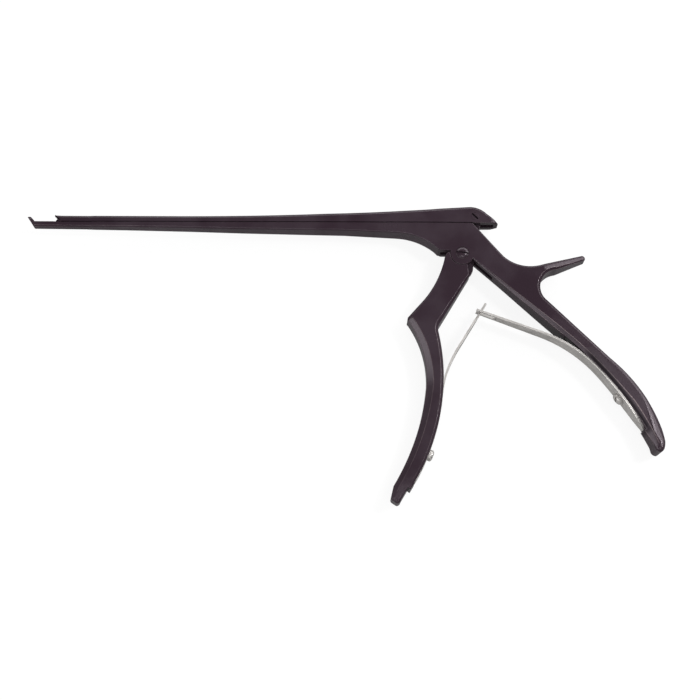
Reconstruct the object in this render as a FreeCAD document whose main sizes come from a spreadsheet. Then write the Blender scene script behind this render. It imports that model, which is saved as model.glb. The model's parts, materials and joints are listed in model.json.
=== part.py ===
"""Bone rongeur: an up-biting bone punch in millimetres, lying on its side as it rests on a tray.

Every sketch has its origin on the pivot axis: +X runs back to the end of the rear handle, +Y up from the pivot to
the slide, and Z is the axis of the pivot, with zero in the middle of the thickness. At the end all the pieces are
placed together, so that the middle of the instrument stands over the origin and its side rests on Z = 0.
"""

import FreeCAD, Part
import math
import os
import re

import Sketcher
from FreeCAD import Vector

os.makedirs("parts", exist_ok=True)
doc = FreeCAD.newDocument("BoneRongeur")

# Driving dimensions, in millimetres and degrees

SIZES = {
    # shaft and jaw
    "seam_rise": 14.4,  # pivot axis up to the face that the slide runs on
    "foot_reach": 190.4,  # pivot axis to the root of the footplate
    "foot_rise": 2.7,  # footplate above the running face
    "foot_lean": 40.0,  # forward lean of the bite, from upright
    "foot_thick": 1.3,
    "foot_heel": 0.6,
    "jaw_opening": 11.2,  # footplate to cutting end, along the shaft
    "shaft_floor": 2.0,  # depth of the frame under the jaw
    "shaft_deep": 2.4,  # depth of the frame half-way along the shaft
    "shaft_middle": 118.0,  # pivot axis to that place
    "shaft_belly_radius": 1500.0,
    "tip_wide": 4.2,
    "tip_long": 24.4,  # narrow length behind the root of the footplate
    "step_long": 0.8,
    "shaft_wide": 4.7,
    "body_wide": 8.5,
    "flare_end": 20.0,  # pivot axis to where the shaft is as wide as the body
    "past": 1.0,  # how far a cut runs on past the metal
    # rail of the frame and slot of the slide
    "rail_neck_wide": 1.5,
    "rail_head_wide": 2.6,
    "rail_neck_high": 0.55,
    "rail_high": 1.2,
    "rail_start": 8.7,  # root of the footplate to the ramp of the rail
    "rail_end": 10.6,  # pivot axis to the rear end of the rail
    "running_gap": 0.05,
    # body
    "belly_reach": 29.0,
    "belly_rise": 9.5,
    "belly_radius": 28.0,
    "throat_reach": 12.3,
    "throat_rise": 3.3,
    "chin_reach": 10.2,
    "chin_rise": 1.2,
    "lobe_radius": 5.3,
    "lobe_angle": 30.0,
    "back_reach": 4.8,  # rear end of the running face
    "slot_wide": 3.0,
    "slot_front": 9.6,  # pivot axis to the front wall of the tongue's slot
    "slot_top_reach": 9.0,
    "slot_top_rise": 9.2,
    "slot_foot_reach": 13.6,
    "slot_foot_drop": 12.6,
    # rear handle
    "saddle_reach": 18.2,
    "saddle_drop": 1.1,
    "saddle_radius": 17.0,
    "hook_root": 36.0,
    "hook_root_drop": 5.0,
    "hook_reach": 52.2,
    "hook_drop": 0.5,
    "hook_thick": 3.5,
    "hook_lean": 16.0,
    "hook_root_wide": 11.6,
    "hook_end_wide": 6.0,
    "crotch_reach": 40.3,
    "crotch_drop": 7.9,
    "crotch_radius": 8.3,
    "palm_reach": 35.6,
    "palm_drop": 21.0,
    "palm_ahead": 21.9,  # bend of the palm side, ahead of the end of the handle
    "palm_bend_drop": 48.0,
    "palm_radius": 70.0,
    "palm_wide": 12.0,
    "palm_flare_start": 14.0,
    "palm_flare_end": 40.0,
    "handle_reach": 84.4,
    "handle_drop": 85.5,
    "end_corner_in": 0.4,  # corners of the oblique end, measured from the end of the palm side
    "end_corner_fall": 2.5,
    "end_tip_in": 2.2,
    "end_tip_fall": 3.9,
    "end_heel_in": 5.1,
    "end_heel_fall": 1.5,
    "end_radius": 2.3,
    "seat_ahead": 23.46,  # middle of the hollow front of the handle, ahead of its end
    "seat_drop": 57.26,
    "seat_angle": 38.0,
    "seat_radius": 172.0,
    "seat_low": 26.9,
    "seat_high": 46.4,
    "facet_reach": 7.7,  # centre of the facet that runs along the hollow front
    "facet_drop": 105.4,
    "facet_radius": 71.0,
    "facet_size": 3.2,
    "facet_start": 10.0,
    "facet_end": 60.0,
    # slide
    "slide_front_high": 3.05,
    "slide_straight_end": 125.0,
    "slide_top_radius": 1540.0,
    "slide_shoulder_reach": 9.7,
    "slide_shoulder_high": 7.35,
    "crown_reach": 2.5,  # highest point of the slide, behind the pivot
    "crown_high": 8.0,
    "crown_end_reach": 11.3,
    "crown_end_high": 4.7,
    "crown_radius": 10.4,
    "nose_reach": 16.6,
    "nose_round": 4.0,
    "fork_slot_wide": 3.2,
    "fork_slot_front": 0.9,
    "fork_slot_back": 14.3,
    "fork_slot_high": 5.1,
    "fork_slot_low": 0.9,
    "fork_slot_slope": 8.8,
    # lever of the trigger and its two cross screws
    "lever_lean": 18.63,  # from upright, handles open
    "lever_long": 18.47,  # pivot to drive screw
    "tongue_thick": 2.8,
    "fork_top": 19.1,
    "fork_floor": 16.0,
    "fork_gap": 2.9,
    "fork_front": 3.0,  # half width of the fork on its front side
    "fork_back": 3.5,
    "fork_corner": 1.2,  # cut of its rear corner, which passes under the slide's sloping tail
    "drive_radius": 1.3,
    "drive_head_radius": 1.75,
    "drive_head_high": 1.6,
    "pivot_radius": 1.95,
    "pivot_head_radius": 2.85,
    "pivot_recess": 1.2,
    "pivot_head_high": 2.0,
    "pivot_dome": 1.1,
    "pivot_slot_deep": 1.1,
    "pivot_slot_turn": 82.0,
    "drive_dome": 0.15,
    "drive_slot_turn": 52.0,
    "drive_end_gap": 0.2,
    "screw_gap": 0.04,
    # back of the tongue, which clears the rear wall of the slot
    "tongue_back_reach": 5.6,
    "tongue_back_drop": 2.0,
    "tongue_heel_reach": 4.9,
    "tongue_heel_drop": 5.3,
    "tongue_step_reach": 4.7,
    "tongue_step_drop": 7.1,
    "tongue_low_reach": 3.8,
    "tongue_low_drop": 8.9,
    "tongue_foot_drop": 12.0,
    "tongue_front_drop": 3.0,
    "tongue_front_wide": 4.6,
    # trigger
    "shoulder_gap": 0.15,
    "shoulder_reach": 6.2,
    "shoulder_rise": 0.6,
    "shoulder_foot_reach": 7.9,
    "shoulder_foot_drop": 2.4,
    "shoulder_radius": 4.0,
    "shoulder_angle": 175.0,
    "neck_radius": 49.0,
    "neck_end_reach": 17.0,
    "neck_end_drop": 21.8,
    "knee_reach": 24.4,
    "knee_drop": 30.4,
    "finger_radius": 47.5,
    "finger_end_reach": 16.4,
    "finger_end_drop": 60.0,
    "front_radius": 106.0,
    "front_end_reach": 30.7,
    "front_end_drop": 103.8,
    "toe_reach": 31.85,
    "toe_drop": 108.8,
    "sole_front_reach": 31.4,
    "sole_front_drop": 109.8,
    "sole_back_reach": 29.4,
    "sole_back_drop": 111.15,
    "heel_reach": 27.7,
    "heel_drop": 109.9,
    "heel_radius": 1.6,
    "tab_notch": 1.3,
    "tab_angle": 142.0,
    "corner_reach": 3.1,  # rear corner of the full width, cut back to clear the frame
    "corner_drop": 9.95,
    "corner_angle": 67.3,
    "grip_back_reach": 12.23,  # middle of the rounded back of the grip, ahead of the pivot
    "grip_back_drop": 79.51,
    "grip_angle": 15.0,
    "grip_radius": 92.0,
    "grip_high": 13.3,
    "grip_low": 32.7,
    "waist_radius": 5.0,
    "grip_wide": 11.5,
    "grip_neck_drop": 10.0,
    "grip_wide_drop": 32.0,
    "grip_taper_drop": 98.0,
    "grip_taper_end": 114.4,
    "grip_end_wide": 8.8,
    "grip_front_edge": 2.7,
    "grip_back_edge": 1.6,
    "front_bevel_start": 36.0,
    "front_bevel_end": 5.5,
    "finger_bevel_start": 3.7,
    "finger_bevel_end": 36.0,
    "back_bevel_start": 33.5,
    "back_bevel_end": 13.3,
    # leaf springs and their screws
    "leaf_thick": 0.9,
    "leaf_wide": 8.6,
    "leaf_tip_wide": 4.8,
    "channel_wide": 9.2,
    "leaf_end_gap": 0.1,  # in degrees of the seat
    "front_leaf_low": 30.4,
    "front_leaf_leave": 6.0,
    "front_channel_end": 0.8,
    "front_leaf_bend": 53.2,
    "front_leaf_turn": 25.2,
    "front_leaf_tip": 24.3,
    "front_leaf_wide_drop": 72.0,
    "front_tongue_drop": 29.5,
    "front_tongue_wide": 2.2,
    "rear_leaf_low": 29.4,
    "rear_leaf_leave": 39.4,
    "rear_leaf_bend": 58.0,
    "rear_leaf_turn": 30.2,
    "rear_leaf_tip": 29.9,
    "rear_leaf_wide_ahead": 26.4,  # these three are ahead of the end of the handle
    "rear_tip_ahead": 84.4,
    "rear_fork_wide": 2.7,
    "rear_fork_ahead": 70.0,
    "front_screw_angle": 21.8,
    "rear_screw_angle": 35.0,
    "spring_screw_radius": 1.25,
    "spring_screw_head": 2.45,
    "spring_screw_high": 2.0,
    "spring_screw_deep": 5.0,
    "spring_dome": 0.7,
    "spring_slot_turn": 25.0,
    "driver_slot": 0.65,
    "driver_slot_deep": 0.8,
}


def fill_sheet():
    sheet = doc.addObject("Spreadsheet::Sheet", "Sizes")
    for row, (name, size) in enumerate(SIZES.items(), start=1):
        sheet.set(f"A{row}", name)
        sheet.set(f"B{row}", str(size))
        sheet.setAlias(f"B{row}", name)
    doc.recompute()
    return sheet


sizes = fill_sheet()


def bound(text):
    """The expression as the document reads it, with each size named in its sheet."""
    return re.sub(r"[a-z_]+", lambda m: "Sizes." + m[0] if m[0] in SIZES else m[0], str(text))


def value(text):
    return float(sizes.evalExpression(bound(text)))


def polar(centre, radius, angle):
    """Expressions for the point at this radius and angle from a centre."""
    return f"{centre[0]} + ({radius}) * cos({angle})", f"{centre[1]} + ({radius}) * sin({angle})"


def along_lever(along, across):
    """Expressions for a point by its distance along the lever from the pivot, and behind the lever's axis."""
    return (
        f"({along}) * sin(lever_lean) + ({across}) * cos(lever_lean)",
        f"({along}) * cos(lever_lean) - ({across}) * sin(lever_lean)",
    )


PIVOT = ("0", "0")
PIN = along_lever("lever_long", "0")
SEAT = (
    "handle_reach - seat_ahead - seat_radius * cos(seat_angle)",
    "-seat_drop - seat_radius * sin(seat_angle)",
)
GRIP = (
    "-grip_back_reach - grip_radius * cos(grip_angle)",
    "-grip_back_drop + grip_radius * sin(grip_angle)",
)
HALF_TURN = "0.502"  # radius of a round end by its width: a hair over half, so that the arc still closes


# Sketches and features

def new_body(label):
    body = doc.addObject("PartDesign::Body", label)
    body.Label = label
    return body


def new_sketch(body, name, plane="XY_Plane", shift=("0", "0", "0"), turn="0"):
    """A sketch on one of the body's own planes, moved and turned in that plane."""
    sketch = body.newObject("Sketcher::SketchObject", f"{body.Name}_{name}")
    origin_plane = next(f for f in body.Origin.OriginFeatures if f.Role == plane)
    sketch.AttachmentSupport = (origin_plane, [""])
    sketch.MapMode = "FlatFace"
    sketch.AttachmentOffset = FreeCAD.Placement(Vector(*map(value, shift)), FreeCAD.Rotation(value(turn), 0, 0))
    for axis, text in zip("xyz", shift):
        if text != "0":
            sketch.setExpression(f"AttachmentOffset.Base.{axis}", bound(text))
    return sketch


def pin_point(sketch, geometry, end, point):
    """Holds one end of a curve at a point given by two expressions."""
    for kind, text in zip(("DistanceX", "DistanceY"), point):
        index = sketch.addConstraint(Sketcher.Constraint(kind, -1, 1, geometry, end, value(text)))
        sketch.setExpression(f"Constraints[{index}]", bound(text))


def arc_between(start, end, radius):
    """The short arc from start to end, turning left for a positive radius and right for a negative one."""
    chord = end - start
    half = chord.Length / 2
    side = Vector(-chord.y, chord.x, 0).normalize() * math.copysign(1, radius)
    centre = (start + end) / 2 + side * math.sqrt(max(radius**2 - half**2, 0))
    first, last = (start, end) if radius > 0 else (end, start)
    angles = [math.atan2(p.y - centre.y, p.x - centre.x) for p in (first, last)]
    return Part.ArcOfCircle(Part.Circle(centre, Vector(0, 0, 1), abs(radius)), *angles)


def outline(sketch, start, *steps):
    """A closed outline: each step is (x, y) for a line, or (x, y, radius) for an arc."""
    points = [start] + [step[:2] for step in steps]
    places = [Vector(value(x), value(y), 0) for x, y in points]
    curves = []
    for here, there, step in zip(places, places[1:], steps):
        if len(step) == 2:
            curves.append((sketch.addGeometry(Part.LineSegment(here, there)), 1, 2))
            continue
        radius = value(step[2])
        index = sketch.addGeometry(arc_between(here, there, radius))
        rule = sketch.addConstraint(Sketcher.Constraint("Radius", index, abs(radius)))
        sketch.setExpression(f"Constraints[{rule}]", f"abs({bound(step[2])})")
        curves.append((index, 1, 2) if radius > 0 else (index, 2, 1))
    curves.append((sketch.addGeometry(Part.LineSegment(places[-1], places[0])), 1, 2))
    for (index, _, last), (following, first, _) in zip(curves, curves[1:] + curves[:1]):
        sketch.addConstraint(Sketcher.Constraint("Coincident", index, last, following, first))
    for (index, first, _), point in zip(curves, points):
        pin_point(sketch, index, first, point)
    return sketch


def circle(sketch, centre, radius):
    place = Vector(value(centre[0]), value(centre[1]), 0)
    index = sketch.addGeometry(Part.Circle(place, Vector(0, 0, 1), value(radius)))
    rule = sketch.addConstraint(Sketcher.Constraint("Radius", index, value(radius)))
    sketch.setExpression(f"Constraints[{rule}]", bound(radius))
    pin_point(sketch, index, 3, centre)
    return sketch


def feature(body, kind, name, sketch, length):
    """A pad or a pocket of this length, half of it on each side of its sketch."""
    before = body.Shape.Volume if body.Tip else 0
    made = body.newObject(f"PartDesign::{kind}", f"{body.Name}_{name}")
    made.Profile = sketch
    made.SideType = "Symmetric"
    made.setExpression("Length", bound(length))
    doc.recompute()
    if abs(body.Shape.Volume - before) < 1e-4:
        raise ValueError(f"{made.Name} changes nothing")
    return made


def turned(body, kind, name, sketch):
    """A revolution or a groove about the upright axis of its sketch."""
    made = body.newObject(f"PartDesign::{kind}", f"{body.Name}_{name}")
    made.Profile = sketch
    made.ReferenceAxis = (sketch, ["V_Axis"])
    doc.recompute()
    return made


def both_sides(sketch, start, *steps):
    """The same outline on both sides of the middle plane."""
    for side in ("", "-"):
        turn = lambda step: (step[0], f"{side}({step[1]})", *(f"{side}({r})" for r in step[2:]))
        outline(sketch, turn(start), *map(turn, steps))
    return sketch


def arc_centre(start, end, radius):
    """Expressions for the centre of the arc that turns left from start to end."""
    run, rise = (f"(({b}) - ({a}))" for a, b in zip(start, end))
    reach = f"sqrt({run} ^ 2 + {rise} ^ 2)"
    share = f"sqrt(({radius}) ^ 2 - {reach} ^ 2 / 4) / {reach}"
    return f"({start[0]}) + {run} / 2 - {rise} * {share}", f"({start[1]}) + {rise} / 2 + {run} * {share}"


def bevel(body, name, centre, radius, start, end, half_wide, size, side):
    """A facet of 45 degrees along an arc, on both faces. Side is 1 where the metal is outside the arc."""
    middle = f"(({start}) + ({end})) / 2"
    angle = value(middle)
    sketch = new_sketch(body, name, "XZ_Plane", shift=(centre[0], "0", f"-({centre[1]})"))
    axis = Vector(0, math.copysign(1, angle), 0)
    sketch.AttachmentOffset = FreeCAD.Placement(sketch.AttachmentOffset.Base, FreeCAD.Rotation(axis, abs(angle)))
    sketch.setExpression("AttachmentOffset.Rotation.Angle", bound(f"abs({middle})"))
    both_sides(
        sketch,
        (f"{radius} - {side} * past", f"{half_wide} - {size} - past"),
        (f"{radius} + {side} * ({size} + past)", f"{half_wide} + past"),
        (f"{radius} - {side} * past", f"{half_wide} + past"),
    )
    made = turned(body, "Groove", f"{name}_cut", sketch)
    made.Midplane = True
    made.setExpression("Angle", bound(f"({end}) - ({start})"))
    doc.recompute()
    return made


THROUGH = "2 * (foot_reach + handle_reach)"
OUTSIDE = "palm_wide"


# Frame: shaft, footplate, slotted body and rear handle, one forging

def frame_profile(body):
    foot_top = ("-foot_reach - foot_rise * tan(foot_lean)", "seam_rise + foot_rise")
    foot_front = polar(foot_top, "-foot_thick", "foot_lean")
    hook_front = polar(("hook_reach", "-hook_drop"), "-hook_thick", "90 + hook_lean")
    return outline(
        new_sketch(body, "profile"),
        ("-foot_reach", "seam_rise"),
        ("back_reach", "seam_rise"),
        ("saddle_reach", "-saddle_drop"),
        ("hook_root", "-hook_root_drop", "saddle_radius"),
        ("hook_reach", "-hook_drop"),
        (*hook_front, f"-{HALF_TURN} * hook_thick"),
        ("crotch_reach", "-crotch_drop"),
        ("palm_reach", "-palm_drop", "crotch_radius"),
        ("handle_reach - palm_ahead", "-palm_bend_drop"),
        ("handle_reach", "-handle_drop", "-palm_radius"),
        ("handle_reach - end_corner_in", "-handle_drop - end_corner_fall"),
        ("handle_reach - end_tip_in", "-handle_drop - end_tip_fall"),
        ("handle_reach - end_heel_in", "-handle_drop - end_heel_fall", "-end_radius"),
        polar(SEAT, "seat_radius", "seat_low"),
        (*polar(SEAT, "seat_radius", "seat_high"), "seat_radius"),
        polar(PIVOT, "lobe_radius", "-lobe_angle"),
        ("0", "-lobe_radius", "-lobe_radius"),
        ("-sqrt(lobe_radius ^ 2 - chin_rise ^ 2)", "chin_rise", "-lobe_radius"),
        ("-chin_reach", "chin_rise"),
        ("-throat_reach", "throat_rise"),
        ("-belly_reach", "belly_rise", "belly_radius"),
        ("-shaft_middle", "seam_rise - shaft_deep", "shaft_belly_radius"),
        ("-foot_reach - foot_heel", "seam_rise - shaft_floor"),
        foot_front,
        (*foot_top, f"-{HALF_TURN} * foot_thick"),
    )


def shaft_plan(body, *behind):
    """Trims the sides to the plan of the shaft: narrow tip, small step, then a taper up to the body."""
    both_sides(
        sketch := new_sketch(body, "plan", "XZ_Plane"),
        ("-foot_reach - palm_wide", "tip_wide / 2"),
        ("-foot_reach + tip_long", "tip_wide / 2"),
        ("-foot_reach + tip_long + step_long", "shaft_wide / 2"),
        ("-flare_end", "body_wide / 2"),
        *behind,
        ("-foot_reach - palm_wide", OUTSIDE),
    )
    return feature(body, "Pocket", "plan_cut", sketch, THROUGH)


def frame():
    body = new_body("frame")
    feature(body, "Pad", "forging", frame_profile(body), "palm_wide")
    shaft_plan(
        body,
        ("palm_flare_start", "body_wide / 2"),
        ("palm_flare_end", "palm_wide / 2"),
        ("palm_flare_end", OUTSIDE),
    )
    hook = both_sides(
        new_sketch(body, "hook_plan", "XZ_Plane"),
        ("hook_root", "hook_root_wide / 2"),
        ("hook_reach + hook_thick", "hook_end_wide / 2"),
        ("hook_reach + hook_thick", OUTSIDE),
        ("hook_root", OUTSIDE),
    )
    feature(body, "Pocket", "hook_cut", hook, "2 * palm_wide")
    rail_top = "seam_rise + rail_high"
    head_foot = "seam_rise + rail_neck_high"
    rail_front = "-foot_reach + rail_start"
    neck = outline(
        new_sketch(body, "rail_neck"),
        (rail_front, "seam_rise"),
        (f"{rail_front} + rail_neck_high", head_foot),
        ("-rail_end", head_foot),
        ("-rail_end", "seam_rise"),
    )
    feature(body, "Pad", "neck", neck, "rail_neck_wide")
    head = outline(
        new_sketch(body, "rail_head"),
        (f"{rail_front} + rail_neck_high", head_foot),
        (f"{rail_front} + rail_high", rail_top),
        ("-rail_end", rail_top),
        ("-rail_end", head_foot),
    )
    feature(body, "Pad", "head", head, "rail_head_wide")
    tongue_slot = outline(
        new_sketch(body, "tongue_slot"),
        ("-slot_front", "seam_rise + past"),
        ("slot_foot_reach", "seam_rise + past"),
        ("slot_top_reach", "slot_top_rise"),
        ("slot_foot_reach", "-slot_foot_drop"),
        ("-slot_front", "-slot_foot_drop"),
    )
    feature(body, "Pocket", "tongue_way", tongue_slot, "slot_wide")
    channel = outline(
        new_sketch(body, "spring_channel"),
        polar(SEAT, "seat_radius - leaf_thick", "rear_leaf_low - leaf_end_gap"),
        polar(SEAT, "seat_radius + leaf_thick", "rear_leaf_low - leaf_end_gap"),
        (*polar(SEAT, "seat_radius + leaf_thick", "seat_high"), "seat_radius + leaf_thick"),
        polar(SEAT, "seat_radius - leaf_thick", "seat_high"),
    )
    feature(body, "Pocket", "spring_seat", channel, "channel_wide")
    bevel(body, "facet", ("facet_reach", "-facet_drop"), "facet_radius", "facet_start", "facet_end",
          "palm_wide / 2", "facet_size", 1)
    bore = circle(new_sketch(body, "pivot_bore"), PIVOT, "pivot_radius + screw_gap")
    feature(body, "Pocket", "pivot_hole", bore, "2 * palm_wide")
    recess = circle(
        new_sketch(body, "recess", shift=("0", "0", "body_wide / 2")), PIVOT, "pivot_head_radius + screw_gap"
    )
    feature(body, "Pocket", "screw_recess", recess, "2 * pivot_recess")
    return body


# Slide: the upper shaft, with the cutting end in front and the slotted tail behind

def slide():
    body = new_body("slide")
    front = "-foot_reach + jaw_opening"
    lip = (f"{front} - slide_front_high * tan(foot_lean)", "seam_rise + slide_front_high")
    profile = outline(
        new_sketch(body, "profile"),
        (front, "seam_rise"),
        lip,
        ("-slide_straight_end", "seam_rise + slide_front_high"),
        ("-slide_shoulder_reach", "seam_rise + slide_shoulder_high", "slide_top_radius"),
        ("crown_reach", "seam_rise + crown_high"),
        ("crown_end_reach", "seam_rise + crown_end_high", "-crown_radius"),
        ("nose_reach", "seam_rise"),
    )
    feature(body, "Pad", "bar", profile, "palm_wide")
    shaft_plan(
        body,
        ("nose_reach - nose_round", "body_wide / 2"),
        ("nose_reach", "body_wide / 2 - nose_round", "-nose_round"),
        ("nose_reach + nose_round", "body_wide / 2 - nose_round"),
        ("nose_reach + nose_round", OUTSIDE),
    )
    slot_top = "seam_rise + rail_high + running_gap"
    rail_way = outline(
        new_sketch(body, "rail_way", "YZ_Plane", shift=("0", "0", "(fork_slot_front - foot_reach) / 2")),
        ("seam_rise - past", "-rail_neck_wide / 2 - running_gap"),
        ("seam_rise + rail_neck_high - running_gap", "-rail_neck_wide / 2 - running_gap"),
        ("seam_rise + rail_neck_high - running_gap", "-rail_head_wide / 2 - running_gap"),
        (slot_top, "-rail_head_wide / 2 - running_gap"),
        (slot_top, "rail_head_wide / 2 + running_gap"),
        ("seam_rise + rail_neck_high - running_gap", "rail_head_wide / 2 + running_gap"),
        ("seam_rise + rail_neck_high - running_gap", "rail_neck_wide / 2 + running_gap"),
        ("seam_rise - past", "rail_neck_wide / 2 + running_gap"),
    )
    feature(body, "Pocket", "rail_cut", rail_way, "foot_reach + fork_slot_front + past")
    fork_way = outline(
        new_sketch(body, "fork_way"),
        ("fork_slot_front", "seam_rise - past"),
        ("fork_slot_front", "seam_rise + fork_slot_high"),
        ("fork_slot_slope", "seam_rise + fork_slot_high"),
        ("fork_slot_back", "seam_rise + fork_slot_low"),
        ("fork_slot_back", "seam_rise - past"),
    )
    feature(body, "Pocket", "fork_cut", fork_way, "fork_slot_wide")
    bore = circle(new_sketch(body, "drive_bore"), PIN, "drive_radius + screw_gap")
    feature(body, "Pocket", "drive_hole", bore, "2 * palm_wide")
    sink = circle(new_sketch(body, "sink", shift=("0", "0", "body_wide / 2")), PIN, "drive_head_radius + screw_gap")
    feature(body, "Pocket", "drive_recess", sink, "2 * drive_head_high")
    return body


# Trigger: the front handle, with the tongue and its fork in one piece with it

def trigger():
    body = new_body("trigger")
    lobe = "lobe_radius + shoulder_gap"
    front_end = ("-front_end_reach", "-front_end_drop")
    finger_end = ("-finger_end_reach", "-finger_end_drop")
    knee = ("-knee_reach", "-knee_drop")
    grip = outline(
        new_sketch(body, "grip"),
        ("-toe_reach", "-toe_drop"),
        front_end,
        (*finger_end, "front_radius"),
        (*knee, "finger_radius"),
        ("-neck_end_reach", "-neck_end_drop"),
        ("-shoulder_foot_reach", "-shoulder_foot_drop", "neck_radius"),
        ("-shoulder_reach", "shoulder_rise", "-shoulder_radius"),
        polar(PIVOT, lobe, "shoulder_angle"),
        (*polar(PIVOT, lobe, "-corner_angle"), lobe),
        ("corner_reach", "-corner_drop"),
        polar(GRIP, "grip_radius", "grip_high"),
        (*polar(GRIP, "grip_radius", "-grip_low"), "-grip_radius"),
        polar(polar(GRIP, "grip_radius", "-grip_low"), "tab_notch", "tab_angle"),
        ("-heel_reach", "-heel_drop"),
        ("-sole_back_reach", "-sole_back_drop", "-heel_radius"),
        ("-sole_front_reach", "-sole_front_drop"),
    )
    feature(body, "Pad", "bar", grip, "palm_wide")
    plan = both_sides(
        new_sketch(body, "plan", "YZ_Plane"),
        ("lobe_radius", "body_wide / 2"),
        ("-grip_neck_drop", "body_wide / 2"),
        ("-grip_wide_drop", "grip_wide / 2"),
        ("-grip_taper_drop", "grip_wide / 2"),
        ("-grip_taper_end", "grip_end_wide / 2"),
        ("-grip_taper_end", OUTSIDE),
        ("lobe_radius", OUTSIDE),
    )
    feature(body, "Pocket", "plan_cut", plan, THROUGH)
    bevel(body, "front_bevel", arc_centre(front_end, finger_end, "front_radius"), "front_radius",
          "-front_bevel_start", "-front_bevel_end", "grip_wide / 2", "grip_front_edge", 1)
    bevel(body, "finger_bevel", arc_centre(finger_end, knee, "finger_radius"), "finger_radius",
          "-finger_bevel_start", "finger_bevel_end", "grip_wide / 2", "grip_front_edge", 1)
    bevel(body, "back_bevel", GRIP, "grip_radius", "-back_bevel_start", "back_bevel_end", "grip_wide / 2",
          "grip_back_edge", -1)
    tongue = outline(
        new_sketch(body, "tongue"),
        along_lever("fork_top", "-fork_front"),
        along_lever("fork_top", "-fork_gap / 2"),
        along_lever("fork_floor", "-fork_gap / 2"),
        (*along_lever("fork_floor", "fork_gap / 2"), f"{HALF_TURN} * fork_gap"),
        along_lever("fork_top", "fork_gap / 2"),
        along_lever("fork_top", "fork_back - fork_corner"),
        along_lever("fork_top - fork_corner", "fork_back"),
        along_lever("fork_floor", "fork_back"),
        ("tongue_back_reach", "-tongue_back_drop"),
        ("tongue_heel_reach", "-tongue_heel_drop"),
        ("tongue_step_reach", "-tongue_step_drop"),
        ("tongue_low_reach", "-tongue_low_drop"),
        ("0", "-tongue_foot_drop"),
        ("-shoulder_reach", "-grip_neck_drop"),
        ("-lobe_radius", "-tongue_front_drop"),
        along_lever("0", "-tongue_front_wide"),
    )
    feature(body, "Pad", "tongue_bar", tongue, "tongue_thick")
    bore = circle(new_sketch(body, "pivot_bore"), PIVOT, "pivot_radius + screw_gap")
    feature(body, "Pocket", "pivot_hole", bore, "2 * palm_wide")
    channel = outline(
        new_sketch(body, "spring_channel"),
        polar(GRIP, "grip_radius + leaf_thick", "-front_leaf_low - 2 * leaf_end_gap"),
        (*polar(GRIP, "grip_radius + leaf_thick", "-front_channel_end"), "grip_radius + leaf_thick"),
        polar(GRIP, "grip_radius - leaf_thick", "-front_channel_end"),
        (*polar(GRIP, "grip_radius - leaf_thick", "-front_leaf_low - 2 * leaf_end_gap"), "-grip_radius + leaf_thick"),
    )
    feature(body, "Pocket", "spring_seat", channel, "channel_wide")
    return body


# Screws: slotted heads turned about their own axis, all standing on the Y axis until they are placed

def screw(label, head_radius, head_high, dome, shank_radius, shank_deep, slot_deep):
    body = new_body(label)
    crown = f"{head_high} - {dome}"
    profile = outline(
        new_sketch(body, "profile"),
        ("0", f"-({shank_deep})"),
        (shank_radius, f"-({shank_deep})"),
        (shank_radius, "0"),
        (head_radius, "0"),
        (head_radius, crown),
        ("0", head_high, f"(({head_radius}) ^ 2 + {dome} ^ 2) / (2 * {dome})"),
    )
    turned(body, "Revolution", "turned", profile)
    slot = outline(
        new_sketch(body, "slot"),
        ("-driver_slot / 2", f"{head_high} - {slot_deep}"),
        ("driver_slot / 2", f"{head_high} - {slot_deep}"),
        ("driver_slot / 2", f"{head_high} + past"),
        ("-driver_slot / 2", f"{head_high} + past"),
    )
    feature(body, "Pocket", "driver_slot", slot, f"3 * ({head_radius})")
    return body


def placed(body, x, y, z, rotation):
    body.Placement = FreeCAD.Placement(Vector(value(x), value(y), value(z)), rotation)
    for axis, text in zip("xyz", (x, y, z)):
        body.setExpression(f"Placement.Base.{axis}", bound(text))
    return body


def pivot_screw():
    body = screw("pivot_screw", "pivot_head_radius", "pivot_head_high", "pivot_dome", "pivot_radius",
                 "body_wide - pivot_recess", "pivot_slot_deep")
    upright = FreeCAD.Rotation(Vector(0, 0, 1), value("pivot_slot_turn")) * FreeCAD.Rotation(Vector(1, 0, 0), 90)
    return placed(body, "0", "0", "body_wide / 2 - pivot_recess", upright)


def drive_screw():
    body = screw("drive_screw", "drive_head_radius", "drive_head_high", "drive_dome", "drive_radius",
                 "body_wide - drive_head_high - drive_end_gap", "driver_slot_deep")
    upright = FreeCAD.Rotation(Vector(0, 0, 1), value("drive_slot_turn")) * FreeCAD.Rotation(Vector(1, 0, 0), 90)
    return placed(body, *PIN, "body_wide / 2 - drive_head_high", upright)


def spring_screw(label, centre, angle, side):
    """A screw on the face of its spring; side is 0 for a rounded seat and 180 for a hollow one."""
    body = screw(label, "spring_screw_head", "spring_screw_high", "spring_dome", "spring_screw_radius",
                 "spring_screw_deep", "driver_slot_deep")
    direction = value(angle) + side
    slot_turn = FreeCAD.Rotation(Vector(0, 1, 0), value("spring_slot_turn"))
    lean = FreeCAD.Rotation(Vector(0, 0, 1), direction - 90) * slot_turn
    radius = "grip_radius" if centre is GRIP else "seat_radius - running_gap"
    return placed(body, *polar(centre, radius, angle), "0", lean)


def screw_hole(body, name, centre, radius, angle, size):
    """A round hole through or into a body, along the radius of its spring's seat at this angle."""
    x, y = polar(centre, radius, angle)
    sketch = new_sketch(body, name, shift=(x, y, "0"), turn=f"{angle} - 90")
    sketch.setExpression("AttachmentOffset.Rotation.Angle", bound(f"abs({angle} - 90)"))
    reach = "spring_screw_deep + screw_gap"
    outline(
        sketch,
        ("0", f"-({reach})"),
        (size, f"-({reach})"),
        (size, reach),
        ("0", reach),
    )
    return turned(body, "Groove", f"{name}_cut", sketch)


# Leaf springs: flat strips bent along their seats, one threaded through the other

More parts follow.
